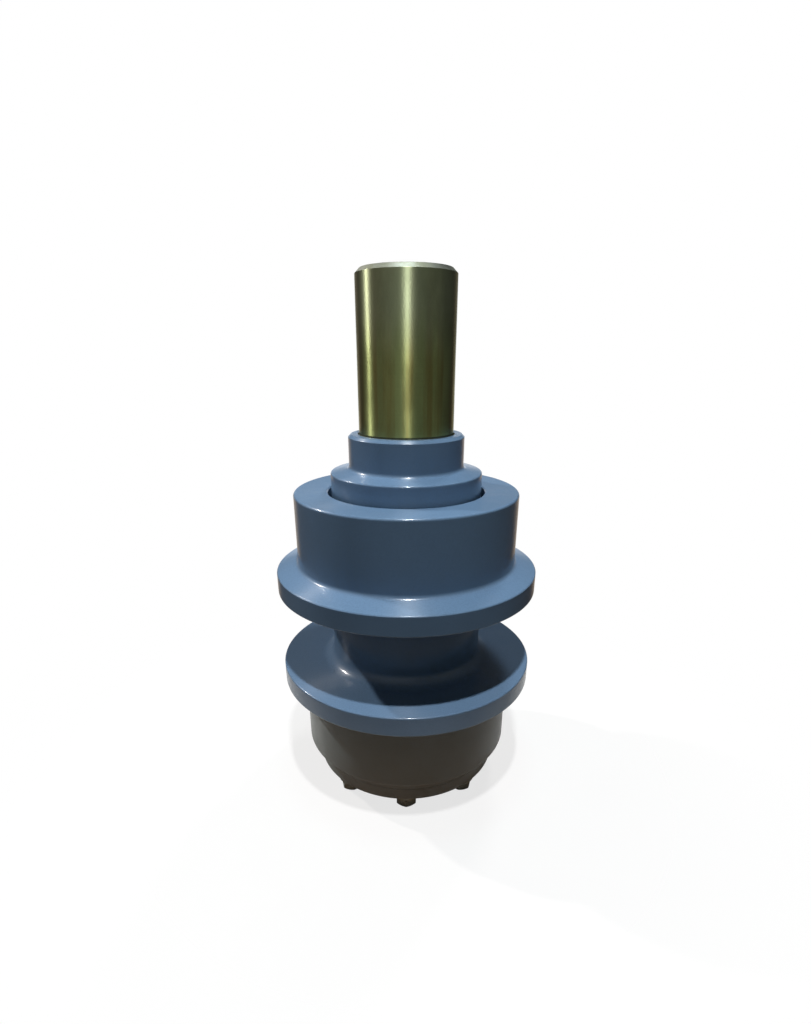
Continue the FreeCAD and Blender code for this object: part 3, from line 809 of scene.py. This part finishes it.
@dataclass
class RollerShell:
    """Forged roller: two treads, two flanges, the waist between them and the neck for the cover."""

    tread: float = 98.25
    flange: float = 117.5
    waist: float = 70.0
    neck: float = COVER_RIM
    neck_low: float = COVER_HIGH
    tread_low: float = 36.5
    low_flange: tuple[float, float] = (105.0, 123.0)
    high_flange: tuple[float, float] = (195.0, 213.0)
    slope: float = 6.0
    top: float = 281.5
    mouth: float = 68.65
    mouth_bevel: float = 1.0
    shroud_floor: float = 255.5
    seal_bore: float = 59.0
    seal_floor: float = 240.5
    seat: float = 42.07
    inner_seat_end: float = 181.5
    oil_cavity: float = 55.0
    outer_seat_end: float = 130.5
    cavity: float = 62.0
    cavity_floor: float = 71.5
    waist_round: float = 11.0
    root_round: float = 4.0
    edge_round: float = 2.0
    flange_bevel: float = 0.8
    flange_round: float = 0.9
    tapping_end: float = 50.5
    segments: int = 240

    def rim(self, low: float, high: float) -> list[Corner]:
        """Corners of one flange's edge, from low to high."""
        trim = self.flange_bevel, self.flange_round
        return [*beveled(self.flange, low, trim[0], INWARD, UP, trim[1]),
                *beveled(self.flange, high, trim[0], DOWN, INWARD, trim[1])]

    def build(self) -> None:
        """Turn the forging, drill its tapped holes and paint it."""
        low, low_top = self.low_flange
        high, high_top = self.high_flange
        piece = turned("roller_forging", Outline([
            (self.cavity, self.neck_low, 0.4), (self.neck, self.neck_low, 0.4),
            (self.neck, self.tread_low, 1.0), (self.tread, self.tread_low, self.edge_round),
            (self.tread, low - self.slope, self.root_round),
            *self.rim(low, low_top),
            (self.waist, low_top, self.waist_round), (self.waist, high, self.waist_round),
            *self.rim(high, high_top),
            (self.tread, high_top + self.slope, self.root_round),
            (self.tread, self.top, self.edge_round),
            *beveled(self.mouth, self.top, self.mouth_bevel, OUTWARD, DOWN),
            (self.mouth, self.shroud_floor, 0.6), (self.seal_bore, self.shroud_floor, 0.4),
            (self.seal_bore, self.seal_floor, 0.4), (self.seat, self.seal_floor, 0.3),
            (self.seat, self.inner_seat_end, 0.3), (self.oil_cavity, self.inner_seat_end, 1.0),
            (self.oil_cavity, self.outer_seat_end, 1.0), (self.seat, self.outer_seat_end, 0.3),
            (self.seat, self.cavity_floor, 0.3), (self.cavity, self.cavity_floor, 0.6),
        ]), self.segments)
        drill(piece, [hole_cutter(TAPPED_HOLE, self.neck_low, self.tapping_end, TAPPED_SINK, place)
                      for place in round_places(BOLT_CIRCLE, BOLT_COUNT)])
        dress(piece, Side.TURNING, Slot.ENAMEL, ["roller_body"], ENAMEL)


@dataclass
class Collar:
    """Stepped collar on the shaft, whose skirt runs inside the roller's mouth."""

    bore: float = 40.52
    hub: float = 45.5
    hub_low: float = 250.5
    recess: float = 59.0
    recess_roof: float = 273.5
    skirt: float = 65.5
    skirt_low: float = 258.5
    shelf: float = 297.8
    neck: float = 49.4
    top: float = COLLAR_TOP
    shelf_round: float = 1.6
    shelf_slope: float = 3.0
    neck_round: float = 3.5
    top_bevel: float = 2.2
    bore_bevel: float = 0.6
    band_width: float = 0.2
    overrun: float = 4.0
    segments: int = 192

    def build(self) -> None:
        """Turn the collar, drill it for its dowel, paint it, and darken its bore's edge with oil and
        painted shade of the joint.
        """
        piece = turned("stepped_collar", Outline([
            (self.bore, self.hub_low, 0.4), (self.hub, self.hub_low, 0.4),
            (self.hub, self.recess_roof, 0.5), (self.recess, self.recess_roof, 0.5),
            (self.recess, self.skirt_low, 0.4), (self.skirt, self.skirt_low, 0.4),
            (self.skirt, self.shelf, self.shelf_round),
            (self.neck, self.shelf + self.shelf_slope, self.neck_round),
            *beveled(self.neck, self.top, self.top_bevel, DOWN, INWARD, 0.7),
            *beveled(self.bore, self.top, self.bore_bevel, OUTWARD, DOWN, 0.1),
        ]), self.segments)
        drill(piece, [hole_cutter(DOWEL_HOLE, -self.neck - self.overrun, -self.bore + self.overrun, 0.0,
                                  laid_over(DOWEL_HEIGHT, QUARTER))])
        low, wide = self.top - self.bore_bevel - self.band_width, self.bore + self.bore_bevel
        # Oil and painted shade of the joint on the bore's edge
        paint_band(piece, 1, lambda spot: spot.z > low and math.hypot(spot.x, spot.y) < wide)
        dress(piece, Side.FIXED, Slot.ENAMEL, ["collar"], ENAMEL, OIL_AND_JOINT_SHADE)


@dataclass
class LockDowel:
    """Dowel that locks the collar to the shaft, set in from the back."""

    radius: float = 5.0
    inner: float = DOWEL_INNER
    outer: float = 48.4
    bevel: float = 0.8
    segments: int = 64

    def build(self) -> None:
        """Turn the dowel and lay it along +Y."""
        piece = turned("lock_dowel", Outline([
            (0, self.inner, 0),
            *beveled(self.radius, self.inner, self.bevel, INWARD, UP, 0.2),
            *beveled(self.radius, self.outer, self.bevel, DOWN, INWARD, 0.2),
            (0, self.outer, 0),
        ], closed=False), self.segments, laid_over(DOWEL_HEIGHT, -QUARTER))
        dress(piece, Side.FIXED, Slot.BOLT, ["collar_dowel"], BOLT_STEEL)


@dataclass
class Shaft:
    """Fixed shaft: its ground clamp end stands up, and its journal runs in the bushes."""

    radius: float = 40.0
    seat: float = 40.5
    journal: float = 35.0
    low: float = 66.2
    journal_bevel: float = 1.5
    shoulder: float = 245.8
    ring_groove: tuple[float, float] = (262.25, 266.75)
    ring_floor: float = 36.9
    # Height above the collar of the band of oil and painted joint shade
    oil_and_shade_line: float = 1.4
    clamp_end: float = 448.2
    top: float = 451.9
    bevel: float = 3.7
    band_width: float = 0.2
    centre_hole: float = 3.2
    centre_mouth: float = 6.7
    centre_depth: float = 12.0
    tapping_circle: float = 20.0
    tapping_count: int = 3
    tapping_end: float = 94.2
    overrun: float = 3.0
    segments: int = 224

    def build(self) -> None:
        """Turn and drill the shaft, leave its top bevel bright, and darken its seat's edge with oil and
        painted shade of the joint.
        """
        step = self.seat - self.radius
        oil_and_shade_top = COLLAR_TOP + self.oil_and_shade_line
        centre_end = self.top - self.centre_depth
        piece = turned("clamp_shaft", Outline([
            (0, self.low, 0), (self.journal - self.journal_bevel, self.low, 0.3),
            (self.journal, self.low + self.journal_bevel, 0.3),
            (self.journal, self.shoulder, 0.4), (self.seat, self.shoulder, 0.4),
            *groove(self.seat, self.ring_floor, self.ring_groove),
            (self.seat, COLLAR_TOP - step, 0), (self.radius, COLLAR_TOP, 0),
            (self.radius, oil_and_shade_top, 0), (self.radius, self.clamp_end, 0.35),
            (self.radius - self.bevel, self.top, 0.35), (self.centre_mouth, self.top, 0.2),
            (self.centre_hole, self.top - self.centre_mouth + self.centre_hole, 0.2),
            (self.centre_hole, centre_end, 0), (0, centre_end - self.centre_hole * DRILL_TIP, 0),
        ], closed=False), self.segments)
        holes = [hole_cutter(TAPPED_HOLE, self.low, self.tapping_end, TAPPED_SINK, place)
                 for place in round_places(self.tapping_circle, self.tapping_count)]
        holes.append(hole_cutter(DOWEL_HOLE, -self.seat - self.overrun, -DOWEL_INNER, 0.0,
                                 laid_over(DOWEL_HEIGHT, QUARTER)))
        drill(piece, holes)
        paint_band(piece, 1, lambda spot: spot.z > self.clamp_end + self.band_width)
        # Oil and painted shade of the joint on the seat's edge, up to just above the collar
        paint_band(piece, 2, lambda spot: COLLAR_TOP - 2 * step < spot.z < oil_and_shade_top)
        dress(piece, Side.FIXED, Slot.GROUND, ["shaft"], SHAFT_STEEL, BARE_EDGE, OIL_AND_JOINT_SHADE)


@dataclass
class EndCover:
    """Round cover under the roller, with a spigot in its cavity."""

    rim: float = COVER_RIM
    low: float = COVER_LOW
    high: float = COVER_HIGH
    spigot: float = 61.9
    spigot_bore: float = 49.9
    spigot_end: float = 33.5
    ring_groove: tuple[float, float] = (26.75, 31.25)
    ring_floor: float = 58.3
    plug_hole: float = PLUG_HOLE
    bevel: float = 1.0
    bolt_hole: float = 6.75
    bolt_sink: float = 0.5
    overrun: float = 4.0
    segments: int = 192

    def build(self) -> None:
        """Turn the cover, drill its bolt holes and paint it."""
        piece = turned("end_cover_plate", Outline([
            (self.plug_hole, self.low, 0.3),
            *beveled(self.rim, self.low, self.bevel, INWARD, UP),
            (self.rim, self.high, 0.3), (self.spigot, self.high, 0.3),
            *groove(self.spigot, self.ring_floor, self.ring_groove),
            (self.spigot, self.spigot_end, 0.5), (self.spigot_bore, self.spigot_end, 0.5),
            (self.spigot_bore, self.high, 0.8), (self.plug_hole, self.high, 0.3),
        ]), self.segments)
        end = self.high + self.overrun
        drill(piece, [hole_cutter(self.bolt_hole, self.low, end, self.bolt_sink, place)
                      for place in round_places(BOLT_CIRCLE, BOLT_COUNT)])
        dress(piece, Side.TURNING, Slot.ENAMEL, ["end_cover"], ENAMEL)


@dataclass
class CoverFasteners:
    """Hexagon bolts that hold the cover, each on a split spring washer and a plain washer."""

    flats: float = 18.0
    face: float = 8.4
    corner: float = 10.19
    face_bevel: float = 1.1
    dish: float = 0.12
    dish_floor: float = 0.55
    dish_rim: float = 0.62
    ease: float = 0.22
    head: float = 7.5
    shank: float = 6.0
    shank_end: float = 44.5
    tip_bevel: float = 1.2
    spring_top: float = 10.0
    plain_top: float = COVER_LOW
    washer_bore: float = 6.3
    spring_rim: float = 10.5
    spring_ease: float = 0.25
    spring_steps: int = 60
    plain_rim: float = 12.0
    split: float = 1.8
    segments: int = 96
    plain_segments: int = 72

    def side(self, turn: float, short: float = 0.0) -> float:
        """Distance of the head's side, less a little, from the bolt's axis, with corners turned off."""
        return min(hexagon(self.flats - 2 * short, turn), self.corner - short)

    def face_height(self, turn: float) -> float:
        """Height at which the bevel of the head meets its side."""
        return (self.side(turn) - self.face) * self.face_bevel / (self.corner - self.face)

    def bolt(self, name: str) -> bpy.types.Mesh:
        """One bolt, with its head down.

        Args:
            name: name of the mesh.

        Returns:
            The mesh.
        """
        ease, face, head, shank = self.ease, self.face, self.head, self.shank
        return stack_rings(name, [
            steady(face * self.dish_floor, self.dish), steady(face * self.dish_rim, 0.0),
            steady(face - ease, 0.0), steady(face + ease * 0.4, ease * 0.35),
            lambda turn: (self.side(turn) - ease * 0.6,
                          max(self.face_height(turn) - ease * 0.3, ease * 0.4)),
            lambda turn: (self.side(turn), self.face_height(turn) + ease),
            lambda turn: (self.side(turn), head - ease * 2),
            lambda turn: (self.side(turn, ease * 0.3), head - ease),
            lambda turn: (self.side(turn, ease), head),
            steady(shank + 0.5, head), steady(shank, head + 0.4), steady(shank, head + 1.2),
            steady(shank, self.shank_end - self.tip_bevel),
            steady(shank - self.tip_bevel, self.shank_end),
        ], self.segments, (self.dish, self.shank_end))

    def spring_washer(self, name: str) -> bpy.types.Mesh:
        """One split washer, with its gap outwards.

        Args:
            name: name of the mesh.

        Returns:
            The mesh.
        """
        ease, steps = self.spring_ease, self.spring_steps
        low, high = self.head, self.spring_top
        inner, outer = self.washer_bore, self.spring_rim
        section = [(inner + ease, low), (outer - ease, low), (outer, low + ease), (outer, high - ease),
                   (outer - ease, high), (inner + ease, high), (inner, high - ease), (inner, low + ease)]
        spots, faces = [], []
        for step in range(steps + 1):
            for out, up in section:
                start = math.asin(self.split / 2 / out)
                spots.append(round_point(out, start + (math.tau - 2 * start) * step / steps, up))
        width = len(section)
        for step in range(steps):
            near, far = step * width, (step + 1) * width
            for part in range(width):
                on = (part + 1) % width
                faces.append((near + part, near + on, far + on, far + part))
        faces += [tuple(range(width)), tuple(steps * width + part for part in range(width))]
        mesh = bpy.data.meshes.new(name)
        mesh.from_pydata(spots, [], faces)
        return mesh

    def plain_washer(self, name: str) -> bpy.types.Mesh:
        """One stamped washer, rounder on its low side.

        Args:
            name: name of the mesh.

        Returns:
            The mesh.
        """
        outline = Outline([
            (self.washer_bore, self.spring_top, 0.3), (self.plain_rim, self.spring_top, 0.6),
            (self.plain_rim, self.plain_top, 0.15), (self.washer_bore, self.plain_top, 0.15),
        ], steps=5)
        return stack_rings(name, [steady(*point) for point in outline.points()], self.plain_segments)

    def build(self) -> None:
        """Set a bolt and its washers at each hole."""
        shapes = {"cover_bolt": self.bolt, "cover_spring_washer": self.spring_washer,
                  "cover_plain_washer": self.plain_washer}
        for index, place in enumerate(round_places(BOLT_CIRCLE, BOLT_COUNT), start=1):
            for name, shape in shapes.items():
                piece = as_object(shape(f"{name}_{index}"), place)
                dress(piece, Side.TURNING, Slot.FASTENERS, [f"{name}s"], FASTENER_PAINT)


@dataclass
class OilPlug:
    """Oil plug with a hexagon socket, on its copper ring in the middle of the cover."""

    shank: float = 10.0
    head: float = 14.0
    low: float = 6.0
    seal_low: float = 11.0
    cover_low: float = COVER_LOW
    top: float = 22.0
    flats: float = 10.0
    socket_end: float = 13.0
    socket_ease: float = 0.15
    bevel: float = 0.8
    ease: float = 0.3
    hole: float = PLUG_HOLE
    segments: int = 96

    def socket(self, turn: float) -> float:
        """Distance of the socket's side from the plug's axis."""
        return hexagon(self.flats, turn)

    def build(self) -> None:
        """Make the plug and its ring."""
        ease, floor, head, shank = self.ease, self.socket_end, self.head, self.shank
        mouth = self.flats / math.sqrt(3) + ease
        bevel_top = self.low + self.bevel
        mesh = stack_rings("cover_oil_plug", [
            lambda turn: (self.socket(turn) * 0.4, floor),
            lambda turn: (self.socket(turn) - self.socket_ease, floor),
            lambda turn: (self.socket(turn), floor - self.socket_ease),
            lambda turn: (self.socket(turn), self.low + (mouth - self.socket(turn)) * 0.6),
            steady(mouth, self.low), steady(mouth + ease, self.low),
            steady(head - self.bevel - ease, self.low), steady(head - self.bevel, self.low + 0.06),
            steady(head - 0.06, bevel_top), steady(head, bevel_top + ease),
            steady(head, self.seal_low - ease), steady(head - 0.2, self.seal_low),
            steady(shank, self.seal_low), steady(shank, self.top - self.bevel),
            steady(shank - self.bevel, self.top),
        ], self.segments, (floor, self.top))
        dress(as_object(mesh), Side.TURNING, Slot.BOLT, ["oil_plug"], BOLT_STEEL)
        ring = turned("plug_copper_ring", Outline([
            (self.hole, self.seal_low, 0.3), (head, self.seal_low, 0.4),
            (head, self.cover_low, 0.4), (self.hole, self.cover_low, 0.3),
        ], steps=6), self.segments)
        dress(ring, Side.TURNING, Slot.COPPER, ["oil_plug_seal"], SEAL_COPPER)


@dataclass
class InnerWorks:
    """Bushes, seals and thrust parts inside the roller, which keep their CAD shapes."""

    finishes: tuple[tuple[Finish, tuple[str, ...]], ...] = (
        (BUSH_BRONZE, ("outer_bush", "inner_bush")),
        (SEAL_IRON, ("fixed_seal_ring", "turning_seal_ring")),
        (RUBBER, ("fixed_toric_ring", "turning_toric_ring", "collar_o_ring", "cover_o_ring")),
        (PLATE_STEEL, ("thrust_plate",)),
        (BOLT_STEEL, ("thrust_bolts", "thrust_washers")),
    )

    def build(self) -> None:
        """Give each inner node its finish."""
        for finish, names in self.finishes:
            for name in names:
                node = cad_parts[name]
                for place in node.material_slots:
                    place.material = finish.material()
                if not node.material_slots:
                    node.data.materials.append(finish.material())
                log.info("%s: %s", name, finish.name)


# Studio


@dataclass(frozen=True)
class Lamp:
    """Area lamp that faces a point, placed by its azimuth and elevation from there."""

    name: str
    azimuth: float
    elevation: float
    distance: float
    side: float
    power: float
    colour: Colour = (1.0, 1.0, 1.0)
    mirrored: bool = True
    target: tuple[float, float, float] = (0.0, 0.0, 0.2)

    def build(self) -> None:
        """Hang the lamp."""
        turn, rise = math.radians(self.azimuth), math.radians(self.elevation)
        flat = math.cos(rise)
        away = Vector((math.sin(turn) * flat, -math.cos(turn) * flat, math.sin(rise)))
        light = bpy.data.lights.new(self.name, "AREA")
        light.shape = "RECTANGLE"
        light.size = light.size_y = self.side
        light.energy, light.color = self.power, self.colour
        lamp = bpy.data.objects.new(self.name, light)
        lamp.location = Vector(self.target) + away * self.distance
        lamp.rotation_mode = "QUATERNION"
        lamp.rotation_quaternion = away.to_track_quat("Z", "Y")
        lamp.visible_camera, lamp.visible_glossy = False, self.mirrored
        bpy.context.scene.collection.objects.link(lamp)


@dataclass(frozen=True)
class Floor:
    """Pale floor that keeps the shadow and fades into the white round it."""

    radius: float = 900.0
    segments: int = 96
    fade_from: float = 0.14
    fade_to: float = 0.42
    swept: Colour = (0.92, 0.92, 0.92)
    dusty: Colour = (0.95, 0.95, 0.945)
    bounce: Colour = (0.225, 0.105, 0.045)
    glow: float = 0.75

    def build(self) -> None:
        """Lay the floor."""
        rings = [steady(self.radius * part, 0.0) for part in (0.1, 0.3, 0.6, 1.0)]
        mesh = stack_rings("pale_floor", rings, self.segments, (0.0, None))
        bench = MaterialBench("pale_floor")
        place = bench.place()
        pale = bench.blend(bench.fade(bench.noise(place, 9, detail=3), *CLOUD), self.swept, self.dusty)
        body = bench.blend(bench.rays(Ray.CAMERA, Ray.GLOSSY, Ray.THROUGH), self.bounce, pale)
        bench.set(Base_Color=body, Roughness=0.9, Specular_IOR_Level=0.05)
        shine = bench.add("ShaderNodeEmission").outputs[0]
        clear = bench.add("ShaderNodeBsdfTransparent").outputs[0]
        share = bench.times(bench.rays(Ray.CAMERA), self.glow)
        lit = bench.add("ShaderNodeMixShader", share, bench.shader.outputs[0], shine).outputs[0]
        gone = bench.fade(bench.vector("LENGTH", place)[1], self.fade_from, self.fade_to)
        whole = bench.add("ShaderNodeMixShader", gone, lit, clear).outputs[0]
        bench.fill(bench.output, Surface=whole)
        mesh.materials.append(bench.material)
        as_object(mesh)


@dataclass(frozen=True)
class Room:
    """White backdrop behind the roller, and a dim room round the rest of it for the gloss to mirror."""

    backdrop: Colour = (1.0, 1.0, 1.0)
    stray: Colour = (0.060, 0.057, 0.052)
    west: Colour = (0.28, 0.26, 0.25)
    east: Colour = (0.13, 0.14, 0.15)
    front: Colour = (0.42, 0.43, 0.42)
    front_way: tuple[float, float, float] = (-0.31, -0.95, 0.0)
    side: Colour = (0.27, 0.28, 0.26)
    side_way: tuple[float, float, float] = (0.80, -0.60, 0.0)
    back: Colour = (0.02, 0.02, 0.02)
    ground: Colour = (0.05, 0.035, 0.025)
    far_floor: Colour = (0.72, 0.58, 0.44)

    def build(self) -> None:
        """Set up the world."""
        world = bpy.data.worlds.new("studio_room")
        world.use_nodes = True
        bench = NodeBench(world.node_tree)
        way = bench.add("ShaderNodeTexCoord").outputs["Generated"]
        east, north, high = bench.axes(way)
        front = bench.vector("DOT_PRODUCT", way, self.front_way)[1]
        side = bench.vector("DOT_PRODUCT", way, self.side_way)[1]
        floor = bench.times(bench.fade(north, 0.70, 0.92), bench.fade(high, -0.12, -0.02, 1.0, 0.0))
        card = bench.times(bench.fade(north, 0.90, 0.985), bench.fade(high, 0.05, 0.17, 1.0, 0.0))
        colour: Socket | Colour = self.west
        for share, patch in (
            (bench.fade(east, -1.0, 1.0), self.east),
            (bench.fade(front, 0.74, 0.90), self.front),
            (bench.fade(side, 0.70, 1.0), self.side),
            (bench.fade(north, 0.0, 0.8, 0.0, 0.75), self.back),
            (bench.fade(high, -0.25, 0.0, 0.85, 0.0), self.ground),
            (floor, self.far_floor),
            (card, self.backdrop),
        ):
            colour = bench.blend(share, colour, patch)
        colour = bench.blend(bench.rays(Ray.GLOSSY, Ray.THROUGH), self.stray, colour)
        colour = bench.blend(bench.rays(Ray.CAMERA), colour, self.backdrop)
        light = bench.add("ShaderNodeBackground", colour)
        bench.add("ShaderNodeOutputWorld", light.outputs[0])
        bpy.context.scene.world = world


@dataclass(frozen=True)
class FrontCamera:
    """Camera close in front, a little above the collar."""

    place: tuple[float, float, float] = (0.0, -0.491, 0.3919)
    tilt: float = 67.54
    lens: float = 19.774
    film_width: float = 36.0
    shift: tuple[float, float] = (-0.8, 73.95)
    picture_height: float = 1024.0
    clip: tuple[float, float] = (0.01, 50.0)

    def build(self) -> None:
        """Set up the camera."""
        data = bpy.data.cameras.new("front_camera")
        data.lens, data.sensor_width = self.lens, self.film_width
        data.shift_x, data.shift_y = (part / self.picture_height for part in self.shift)
        data.clip_start, data.clip_end = self.clip
        camera = bpy.data.objects.new("front_camera", data)
        camera.location = self.place
        camera.rotation_euler = (math.radians(self.tilt), 0.0, 0.0)
        bpy.context.scene.collection.objects.link(camera)
        bpy.context.scene.camera = camera


@dataclass(frozen=True)
class Studio:
    """Floor, surroundings, lamps and camera."""

    lamps: tuple[Lamp, ...] = (
        Lamp("overhead", 5.0, 73.6, 2.083, 0.08, 32.5),
        Lamp("ceiling_panel", 0.0, 90.0, 2.2, 0.25, 5.5, (0.62, 0.92, 1.0)),
        Lamp("left_lamp", -113.0, 37.6, 3.0, 0.09, 42.0, (1.0, 0.94, 0.90)),
        Lamp("back_right_lamp", 150.0, 50.0, 2.5, 0.4, 17.0, (1.0, 0.97, 0.96), mirrored=False),
    )

    def build(self) -> None:
        """Set up the whole studio."""
        for part in (Floor(), Room(), *self.lamps, FrontCamera()):
            part.build()
        bpy.context.scene.view_settings.view_transform = "Standard"
        log.info("studio with %d lamps", len(self.lamps))


def main() -> None:
    """Build every sub-assembly in order and report it."""
    logging.basicConfig(level=logging.INFO, format="%(name)s: %(message)s", stream=sys.stdout)
    for part in (RollerShell(), Collar(), LockDowel(), Shaft(), EndCover(), CoverFasteners(), OilPlug(),
                 InnerWorks(), Studio()):
        part.build()


if __name__ == "__main__":
    main()
